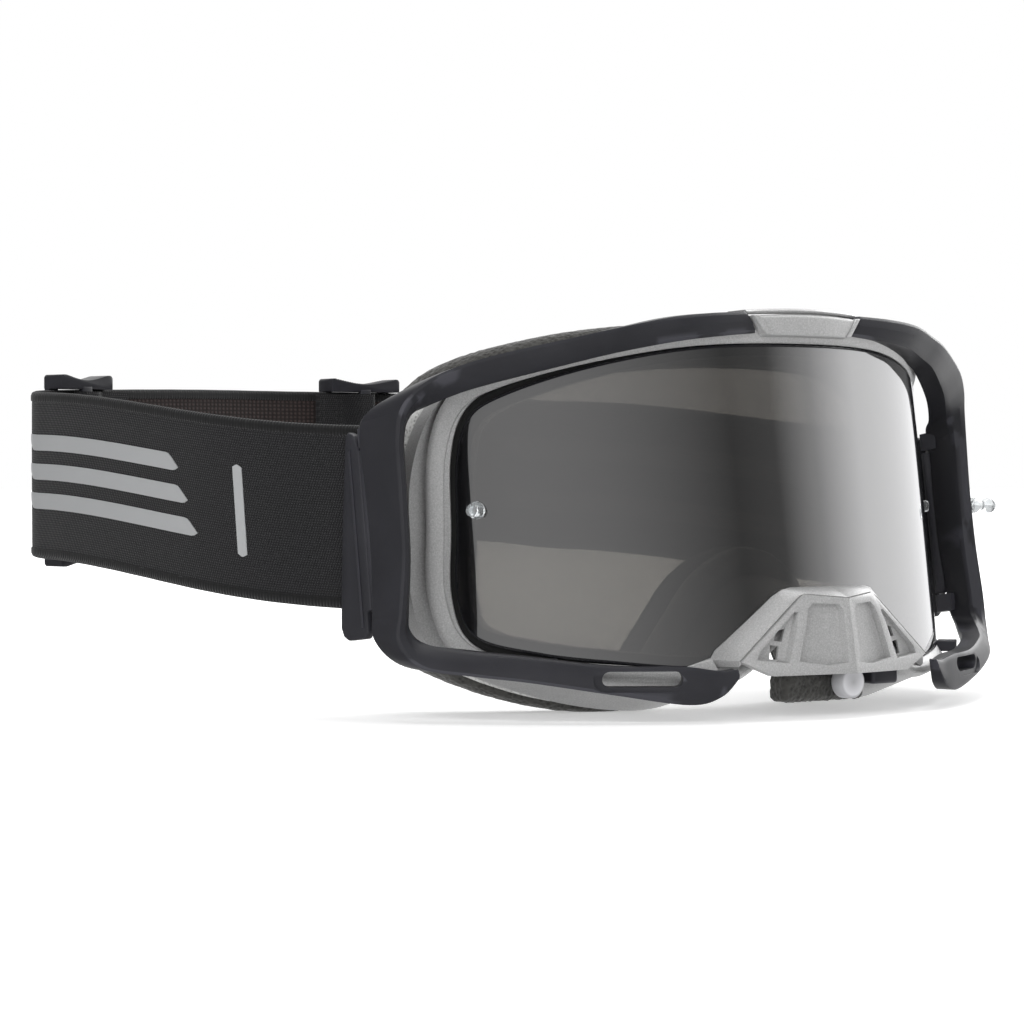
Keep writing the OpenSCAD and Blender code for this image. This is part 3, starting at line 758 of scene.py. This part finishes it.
def guard_flange(q):
    f = V3(q, 1, 1)
    R = [[gc_t + V3(0, 0.4, 0.25), gc_t + V3(0, 1.9, -1.5), V3(0, -13.4, Z0 - 18.8), V3(0, -13.4, Z0 - 16.6)],
         [gc_t + (g_t - gc_t) * 0.96 + V3(0, 0.4, 0.25), gc_t + (g_t - gc_t) * 0.96 + V3(-0.4, 1.9, -1.5), V3(12.2, -12.6, Z0 - 18.8), V3(13.0, -12.4, Z0 - 16.6)],
         [g_t + V3(0.9, 0.5, -0.3), g_t + V3(-0.2, 1.9, -2.2), V3(13.6, -12.2, Z0 - 19.4), V3(15.4, -12.0, Z0 - 17.2)]]
    for t in np.linspace(0.12, 1, 8):
        a = g_t + (g_o - g_t) * t
        s = 15 + (37.6 - 15) * t
        lp = W(np.array(min(s, 36.2)), np.array(-16.8 + (-34.6 + 16.8) * t), 0.5)
        R.append([a + V3(0.5, 0.45, 0.3), a + V3(-0.6, 2.0, -1.4), lp + V3(-1.2, -0.4, -1.9), lp])
    return wall([[p * f for p in r] for r in R])


parts += [guard_flange(1), guard_flange(-1)]
for q in (-1, 1):
    # foot of the flange that lies on the lens below its slope
    R = []
    for t in np.linspace(0, 1, 7):
        s0, z0_ = 36.0 + 6.5 * t, -34.2 - 2.2 * t
        a = W(np.array(s0), np.array(z0_), 0.5); b = W(np.array(s0 - 1.2), np.array(z0_ - 3.4), 0.4)
        R.append([a + V3(0, 0, 0), a + V3(0, -0.9 + 0.6 * t, -0.3), b + V3(0, -1.2 + 0.8 * t, 0), b])
    parts.append(wall([[p * V3(q, 1, 1) for p in r] for r in R]))
guard = bevel(join("nose_guard_shell", parts), 0.28, 2, 22, 42)
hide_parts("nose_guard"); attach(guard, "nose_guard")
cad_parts["nose_guard_pegs"].data.materials.clear(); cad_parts["nose_guard_pegs"].data.materials.append(SILVER)


# ------------------------------------------------------------------ pieces under the nose
def rbox(name, lo, hi, r, mat, seg=3):
    x0, y0, z0_ = lo; x1, y1, z1 = hi
    P = [V3(x0, y0, z0_), V3(x1, y0, z0_), V3(x1, y1, z0_), V3(x0, y1, z0_)]
    o = bar(name, [P, [p + V3(0, 0, z1 - z0_) for p in P]], mat)
    return bevel(o, r, seg, 20, 50)


nf = rbox("nose_foam_pad", (-11, -8.5, Z0 - 46.8), (17, -1.5, Z0 - 39.2), 1.6, FOAM_D, 4)
sd = nf.modifiers.new("t", "REMESH"); sd.mode = "VOXEL"; sd.voxel_size = 0.0006; bake(nf)
rough_up(smooth(nf, 70), 0.3, 1100)
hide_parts("nose_foam"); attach(nf, "frame")
nc = lathe("nose_clip_disc", [(0, 0), (3.3, 0), (3.9, 0.2), (4.3, 0.7), (4.3, 3.8), (3.9, 4.3), (3.3, 4.5), (0, 4.5)], GREYP, V3(6, -11.5, Z0 - 41.6), (0, -1, 0), 64)
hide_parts("nose_clip"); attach(nc, "frame")
ct = rbox("chin_tab_block", (18.5, -10, Z0 - 43), (27.5, -4, Z0 - 38), 0.9, BLACK, 3)
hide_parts("chin_tab"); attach(ct, "frame")

# ------------------------------------------------------------------ strap plates
HM, TILT = V3(99.5, 50.6, -2 + Z0), math.radians(-8.3)


def hinge_pt(x, y, z):
    c, s = math.cos(TILT), math.sin(TILT)
    return HM + V3(x, y * c - z * s, y * s + z * c)


def plate_mesh(name):
    P2 = [(0.6, -20.6), (0.6, 20.6), (2.9, 25.4), (5.2, 26.4), (6.5, 25), (8.8, 14), (11.2, 2), (13.4, -10), (15, -20), (15.5, -23.6), (14.6, -26), (12.6, -27.2), (4.6, -27.5), (2.9, -26), (2.9, -20.6)]
    A = [hinge_pt(2.3, y, z) for y, z in P2]
    B = [hinge_pt(2.3 - 2.4, y, z) for y, z in P2]
    o = bar(name, [A, B], BLACK)
    bevel(o, 0.55, 3, 25, 45)
    ax = hinge_pt(0, 0, 1) - HM
    c = lathe("barrel", [(1.0, -20.9), (1.9, -20.9), (2.1, -20.6), (2.1, 20.6), (1.9, 20.9), (1.0, 20.9)], BLACK, HM, ax, 32)
    rib = []
    for y0, z0_, z1 in ((4.3, 21.5, -24.5),):
        A = [hinge_pt(2.28, y0, z0_), hinge_pt(2.28, y0 + 0.9, z0_ - 0.4), hinge_pt(2.28, y0 + 0.9, z1), hinge_pt(2.28, y0, z1)]
        rib.append(bevel(bar("rib", [A, [p + V3(0.35, 0, 0) for p in A]], BLACK), 0.12))
    return smooth(join(name, [o, c] + rib), 42)


pl = plate_mesh("strap_plate_moulding_left")
prr = mirror_copy(pl, "strap_plate_moulding_right")
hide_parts("strap_plate_left"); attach(pl, "plate_left")
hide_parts("strap_plate_right"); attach(prr, "plate_right")

# ------------------------------------------------------------------ strap
strap_plan = [[-97.6, 57.6], [-98.2, 62], [-101.5, 70], [-109.5, 88], [-115.5, 108], [-119.6, 132], [-122.6, 158], [-124.2, 180],
              [-123.8, 192], [-118, 199.2], [-108, 202], [-96, 204.9], [-84, 207.8], [-60, 213.6], [-38, 218.4], [-22, 219.8], [-6, 219.8], [12, 219.8],
              [28, 219.8], [42, 216], [54, 204], [64, 184], [74, 158], [84, 125], [91.5, 95], [96.4, 70], [97.7, 62], [97.5, 57.6]]
SM = 16
PL = opened(strap_plan, SM)
PD = np.gradient(PL, axis=0)
PD /= np.linalg.norm(PD, axis=1, keepdims=True)
PN = np.stack([PD[:, 1], -PD[:, 0]], 1)
PS = np.concatenate([[0], np.cumsum(np.linalg.norm(np.diff(PL, axis=0), axis=1))])


def strap_z(y):
    return 1.2 + 10.8 * ease((y - 55) / 135) + 2.6 * ease((y - 185) / 34) + Z0


def strap_pt(l, v, t):
    """Point of the strap: l along it, v up across it, t inwards out of it (all mm)."""
    x, y = np.interp(l, PS, PL[:, 0]), np.interp(l, PS, PL[:, 1])
    nx, ny = np.interp(l, PS, PN[:, 0]), np.interp(l, PS, PN[:, 1])
    return np.stack([x + nx * t, y + ny * t, strap_z(y) + v], -1)


def knot(i):
    return PS[i * SM]


def strap_section():
    """(v, t) round the band: bound edges stand a little proud."""
    prof = []
    vs = [-24, -23.7, -22.8, -21.4, -21.15, -20.4, -14, -7, 0, 7, 14, 20.4, 21.15, 21.4, 22.8, 23.7, 24]
    ts_ = [0.0, 0.75, 1.12, 1.12, 0.8, 0.86, 0.88, 0.9, 0.9, 0.9, 0.88, 0.86, 0.8, 1.12, 1.12, 0.75, 0.0]
    for v, t in zip(vs, ts_):
        prof.append((v, -t))
    for v, t in list(zip(vs, ts_))[-2:0:-1]:
        prof.append((v, t))
    return prof


def strap_piece(name, l0, l1, step=1.3):
    prof = strap_section()
    ls_ = np.linspace(l0, l1, max(int((l1 - l0) / step), 4))
    rows, uv = [], []
    for l in ls_:
        rip = 0.05 * math.sin(l * 1.9)
        rows.append([strap_pt(l, v * (1 + 0.0006 * math.sin(l * 0.45)), t * (1 + (rip if abs(v) > 21 else 0))) for v, t in prof])
        uv += [(l * 0.001, v * 0.001) for v, t in prof]
    o = bar(name, rows, WEB, uv)
    me = o.data
    me.materials.append(WEB_IN)
    me.materials.append(BIND)
    return o


def colour_strap(o, l0, l1):
    """Outer face, inner face and bound edges by where each face lies across the band."""
    me = o.data
    for p in me.polygons:
        c = np.mean([[me.vertices[i].co[k] for k in range(3)] for i in p.vertices], 0) * 1000
        c[1] += DY
        d = (PL[:, 0] - c[0]) ** 2 + (PL[:, 1] - c[1]) ** 2
        i = int(np.argmin(d))
        v = c[2] - strap_z(PL[i, 1])
        t = (c[0] - PL[i, 0]) * PN[i, 0] + (c[1] - PL[i, 1]) * PN[i, 1]
        p.material_index = 2 if abs(v) > 21.2 else (1 if t > 0.2 else 0)
    return o


L_END = PS[-1]
gl_r, gl_l = knot(11), knot(17)
right = colour_strap(smooth(strap_piece("strap_web_right", knot(0) + 0.5, knot(11)), 50), 0, 0)
back = colour_strap(smooth(strap_piece("strap_web_back", knot(11), knot(17)), 50), 0, 0)
left = colour_strap(smooth(strap_piece("strap_web_left", knot(17), L_END - 0.5), 50), 0, 0)
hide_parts("strap_right", "strap_anchor_right")
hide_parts("strap_back"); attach(back, "frame")
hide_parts("strap_left", "strap_anchor_left")


def over_strap(name, l0, l1, v0, v1, t0, t1, mat, slant=0.0, step=1.2, rnd=1.0):
    """Thin strip on the strap, its ends slanted and rounded."""
    n = max(int((l1 - l0) / step), 6)
    rows, uv = [], []
    K = 7
    for q in range(n + 1):
        f = q / n
        row0, row1 = [], []
        for k in range(K):
            g = k / (K - 1)
            l = l0 + (l1 - l0) * f + slant * (g - 0.5)
            e = min(f, 1 - f) * (l1 - l0)
            sh = rnd * max(0, 1 - e / 2.2) ** 2
            v = (v0 + v1) / 2 + (g - 0.5) * (v1 - v0 - 2 * sh)
            row0.append(strap_pt(l, v, t0)); row1.append(strap_pt(l, v, t1))
            uv.append((l * 0.001, v * 0.001))
        rows.append(row0 + row1[::-1])
        uv += [(u[0], u[1]) for u in uv[-K:][::-1]]
    return smooth(bar(name, rows, mat, uv), 40)


ga = [over_strap("g", knot(2), knot(8), 5, 11.6, 0.86, 1.45, GRIP), over_strap("g", knot(2), knot(8), -12.2, -5.6, 0.86, 1.45, GRIP)]
gb = [over_strap("g", knot(20), knot(25), 5, 11.6, 0.86, 1.45, GRIP), over_strap("g", knot(20), knot(25), -12.2, -5.6, 0.86, 1.45, GRIP)]
gra = smooth(join("grip_strips_right", ga), 40)
grb = smooth(join("grip_strips_left", gb), 40)
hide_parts("grip_strip_upper")
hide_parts("grip_strip_lower")
bars = []
for l0, l1, v0, v1 in ((knot(4) + 12, knot(8) + 1, 7.2, 11.8), (knot(4) + 8, knot(8) + 1, -1.2, 3.4), (knot(4) + 4, knot(8) + 1, -9.6, -5.0)):
    bars.append(over_strap("b", l0, l1, v0, v1, -0.85, -1.1, PRINT, slant=3.0))
bars.append(over_strap("b", knot(3) + 6, knot(3) + 9.2, -13, 11.5, -0.85, -1.1, PRINT, slant=2.0, step=0.5, rnd=0.8))
bars = smooth(join("strap_print_bars", bars), 40)
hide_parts("strap_bars")
for o in (right, gra, bars):
    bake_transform(o)
for o in (left, grb):
    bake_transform(o)


# ------------------------------------------------------------------ adjusters
def seat_frame(l):
    p = strap_pt(l, 0, 0)
    d = np.array([np.interp(l, PS, PD[:, 0]), np.interp(l, PS, PD[:, 1]), 0])
    d /= np.linalg.norm(d)
    n_out = np.array([-d[1], d[0], 0])
    return p, d, n_out


def adjuster(name, p, d, n_out, mat, ser=0.0):
    def T(x, y, z):
        return p + d * x + n_out * y + V3(0, 0, z)
    parts = []
    hl = 10.0 if not ser else 13.0
    for q in (-1, 1):
        top = []
        n = 44 if not ser else 58
        for i in range(n + 1):
            x = -hl + 2 * hl * i / n
            scoop = 1.5 * math.cos(min(abs(x) / (hl - 1.8), 1) * math.pi / 2) ** 1.2
            serr = 0.32 * (1 if i % 2 else 0) if abs(x) < hl - 2.2 else 0
            edge = 0.8 * max(0, (abs(x) - hl + 0.8) / 0.8) ** 2
            top.append((x, 28.3 - scoop - serr * ser - edge))
        prof = top + [(hl, 24.08), (-hl, 24.08)]
        A = [T(x, -4.7, q * z) for x, z in prof]
        B = [T(x, 3.4, q * z) for x, z in prof]
        parts.append(bevel(bar("t", [A, B], mat), 0.25, 2, 30, 40))
    for x0 in (-hl, hl - 4):
        rows = []
        for z in np.linspace(-25, 25, 15):
            b = 0.7 * (1 - (z / 25) ** 2)
            rows.append([T(x0, 1.3, z), T(x0 + 4, 1.3, z), T(x0 + 4, 3.3 + b, z), T(x0, 3.3 + b, z)])
        parts.append(bevel(bar("s", rows, mat), 0.5, 3, 30, 40))
    rows = [[T(-2, -4.8, z), T(2, -4.8, z), T(2, -2.8, z), T(-2, -2.8, z)] for z in (-25, 25)]
    parts.append(bevel(bar("c", rows, mat), 0.5, 3, 30, 40))
    return smooth(join(name, parts), 40)


def sewn_loop(name, p, d, n_out, tail_dir):
    def T(x, y, z):
        return p + d * x + n_out * y + V3(0, 0, z)
    # loop round the middle bar, then a sewn tail along the inner face
    path = []
    w, r = 2.9, 1.6
    yc = -3.65
    for a in np.linspace(-math.pi / 2, -3 * math.pi / 2, 11):
        path.append((-tail_dir * (w - r) + tail_dir * r * math.cos(a), yc + 1.9 * -math.sin(a)))
    path2 = [(-tail_dir * (w - r) * 1.0, yc + 1.9)] + []
    for a in np.linspace(math.pi / 2, -math.pi / 2, 11):
        path2.append((tail_dir * (w - r) + tail_dir * r * math.cos(a), yc + 1.9 * math.sin(a)))
    # outer strap-side run continues into the tail
    pts = [(tail_dir * 17.0, -1.75), (tail_dir * 10, -1.75), (0, -1.75)]
    for a in np.linspace(math.pi / 2, 3 * math.pi / 2, 11):
        pts.append((-tail_dir * 1.2 + tail_dir * 1.9 * math.cos(a), yc + 1.9 * math.sin(a)))
    pts += [(tail_dir * 1.0, yc - 1.9), (tail_dir * 3.4, yc - 1.6), (tail_dir * 6.2, -3.3), (tail_dir * 9, -2.95), (tail_dir * 17.0, -2.9)]
    pts = opened(pts, 5)
    dirs = np.gradient(pts, axis=0); dirs /= np.maximum(np.linalg.norm(dirs, axis=1, keepdims=True), 1e-9)
    nn = np.stack([-dirs[:, 1], dirs[:, 0]], 1)
    rows, uv = [], []
    s = 0
    for i in range(len(pts)):
        if i:
            s += np.linalg.norm(pts[i] - pts[i - 1])
        a, b = pts[i] + nn[i] * 0.5, pts[i] - nn[i] * 0.5
        vs = np.linspace(-23.4, 23.4, 9)
        rows.append([T(a[0], a[1], v) for v in vs] + [T(b[0], b[1], v) for v in vs[::-1]])
        uv += [(s * 0.001, v * 0.001) for v in vs] + [(s * 0.001, v * 0.001) for v in vs[::-1]]
    o = smooth(bar(name, rows, WEB, uv), 50)
    # stitch rows across the tail
    st = []
    for x in (8.6, 10.4, 15.2):
        for z in np.arange(-21.5, 21.6, 1.9):
            A = T(tail_dir * x, -3.42, z); B = T(tail_dir * (x + 0.2), -3.42, z + 1.3)
            c = [(A + B) / 2]
            st.append(lathe("st", [(0, 0), (0.2, 0.08), (0.24, 0.65), (0.2, 1.22), (0, 1.3)], BIND, A, (B - A) / np.linalg.norm(B - A), 6))
    return join(name, [o] + st)


pr_, dr_, nr_ = V3(-104.5, 202.84, strap_z(203.0)), V3(math.cos(math.radians(13.59)), math.sin(math.radians(13.59)), 0), V3(-math.sin(math.radians(13.59)), math.cos(math.radians(13.59)), 0)
pl_, dl_, nl_ = V3(6, 219.8, strap_z(219.8)), V3(1, 0, 0), V3(0, 1, 0)
adj_r = adjuster("adjuster_right_slider", pr_, dr_, nr_, BLACK_S)
adj_l = adjuster("adjuster_left_slider", pl_, dl_, nl_, BLACK_S, 1.0)
sl_r = sewn_loop("sewn_loop_right_web", pr_, dr_, nr_, 1)
sl_l = sewn_loop("sewn_loop_left_web", pl_, dl_, nl_, -1)
for o, n, b, sl in ((adj_r, "strap_adjuster_right", "adjuster_right", "black_plastic"), (adj_l, "strap_adjuster_left", "adjuster_left", "black_plastic"),
                    (sl_r, "sewn_loop_right", "adjuster_right", "webbing"), (sl_l, "sewn_loop_left", "adjuster_left", "webbing")):
    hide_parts(n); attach(o, b)

# ------------------------------------------------------------------ CAD nodes that stay
def dress(n, mat):
    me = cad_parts[n].data
    me.materials.clear()
    me.materials.append(mat)


for n in ("frame_clips", "hinge_lugs_right", "hinge_lugs_left"):
    dress(n, BLACK)
PIN = mat_silver("pin_steel", (0.5, 0.5, 0.51), 1.0, 0.3)
for n in ("hinge_pin_right", "hinge_pin_left"):
    dress(n, PIN)

# ------------------------------------------------------------------ stage, light, camera
lo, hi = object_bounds()
m, nt, out = new_mat("stage_white")
p = principled(nt, out, Base_Color=(0.93, 0.93, 0.93, 1), Roughness=0.9)
tcf = nt.nodes.new("ShaderNodeTexCoord")
df = nt.nodes.new("ShaderNodeVectorMath")
df.operation = "DOT_PRODUCT"
df.inputs[1].default_value = (0.5877, 0.8089, 0)
nt.links.new(tcf.outputs["Object"], df.inputs[0])
mf = nt.nodes.new("ShaderNodeMapRange")
mf.inputs["From Min"].default_value = 0.0
mf.inputs["From Max"].default_value = 1.2
mf.inputs["To Min"].default_value = 0.35
mf.inputs["To Max"].default_value = 1.0
nt.links.new(df.outputs["Value"], mf.inputs["Value"])
p.inputs["Emission Color"].default_value = (1, 1, 1, 1)
nt.links.new(mf.outputs["Result"], p.inputs["Emission Strength"])
zf = float(CAD_BOX[0][2])
me = bpy.data.meshes.new("floor")
me.from_pydata([(9 * math.cos(t), 9 * math.sin(t), zf) for t in np.linspace(0, 2 * math.pi, 96, endpoint=False)], [], [tuple(range(96))])
me.materials.append(m)
floor = bpy.data.objects.new("floor", me)
bpy.context.scene.collection.objects.link(floor)
floor.visible_glossy = False

w = bpy.data.worlds.new("studio")
bpy.context.scene.world = w
w.use_nodes = True
nt = w.node_tree
for n in list(nt.nodes):
    nt.nodes.remove(n)
out = nt.nodes.new("ShaderNodeOutputWorld")
bg = nt.nodes.new("ShaderNodeBackground")
tc = nt.nodes.new("ShaderNodeTexCoord")
dot = nt.nodes.new("ShaderNodeVectorMath")
dot.operation = "DOT_PRODUCT"
ph = math.radians(112)
dot.inputs[1].default_value = (math.sin(ph) * 0.98, -math.cos(ph) * 0.98, 0.2)
nt.links.new(tc.outputs["Generated"], dot.inputs[0])
mp = nt.nodes.new("ShaderNodeMapRange")
mp.inputs["From Min"].default_value = -1
mp.inputs["From Max"].default_value = 1
nt.links.new(dot.outputs["Value"], mp.inputs["Value"])
r = ramp(nt, mp.outputs["Result"], [(0.0, (0.30,) * 3), (0.42, (0.07,) * 3), (0.56, (0.10,) * 3), (0.70, (0.42,) * 3), (0.86, (1.0,) * 3), (1.0, (1.1,) * 3)])
bg2 = nt.nodes.new("ShaderNodeBackground")
bg2.inputs["Color"].default_value = (1, 1, 1, 1)
bg2.inputs["Strength"].default_value = 1.0
lp = nt.nodes.new("ShaderNodeLightPath")
mixw = nt.nodes.new("ShaderNodeMixShader")
nt.links.new(r.outputs["Color"], bg.inputs["Color"])
bg.inputs["Strength"].default_value = 1.0
nt.links.new(lp.outputs["Is Camera Ray"], mixw.inputs[0])
nt.links.new(bg.outputs[0], mixw.inputs[1])
nt.links.new(bg2.outputs[0], mixw.inputs[2])
nt.links.new(mixw.outputs[0], out.inputs["Surface"])


def area(name, loc, aim, size, power, size_y=None):
    L = bpy.data.lights.new(name, "AREA")
    L.energy = power
    L.size = size
    if size_y:
        L.shape = "RECTANGLE"
        L.size_y = size_y
    o = bpy.data.objects.new(name, L)
    o.location = loc
    o.rotation_euler = (Vector(aim) - Vector(loc)).to_track_quat("-Z", "Y").to_euler()
    bpy.context.scene.collection.objects.link(o)
    return o


area("key_top", (0.1, 0.2, 1.3), (0, 0.05, 0.0), 0.9, 9)
f1 = area("fill_left", (-1.0, -0.45, 0.35), (-0.05, 0.03, 0.0), 0.9, 8.0)
f1.visible_glossy = False
f2 = area("fill_front", (-0.3, -1.1, 0.5), (0.0, 0.0, 0.0), 0.9, 5.0)
f2.visible_glossy = False
area("rim_right", (0.9, 0.2, 0.5), (0.0, 0.0, 0.0), 0.6, 4.0)

AZ, EL, FPX, DIST, OX, OZ = math.radians(36), math.radians(0.8), 3000.0, 789.0, 74.6, -2.54
ca, sa, ce, se = math.cos(AZ), math.sin(AZ), math.cos(EL), math.sin(EL)
Rv, Fv, Uv = V3(ca, -sa, 0), V3(sa * ce, ca * ce, -se), V3(sa * se, ca * se, ce)
Cg = -OX * Rv - DIST * Fv - OZ * Uv
loc = (Cg + V3(0, -DY, Z0)) * 0.001
cam_d = bpy.data.cameras.new("camera")
cam_d.sensor_width = 36.0
cam_d.lens = FPX / 1024 * 36.0
cam_d.clip_start = 0.01
cam_d.clip_end = 50
cam = bpy.data.objects.new("camera", cam_d)
M = Matrix(((Rv[0], Uv[0], -Fv[0], loc[0]), (Rv[1], Uv[1], -Fv[1], loc[1]), (Rv[2], Uv[2], -Fv[2], loc[2]), (0, 0, 0, 1)))
cam.matrix_world = M
bpy.context.scene.collection.objects.link(cam)
bpy.context.scene.camera = cam
bpy.context.scene.view_settings.view_transform = "Standard"
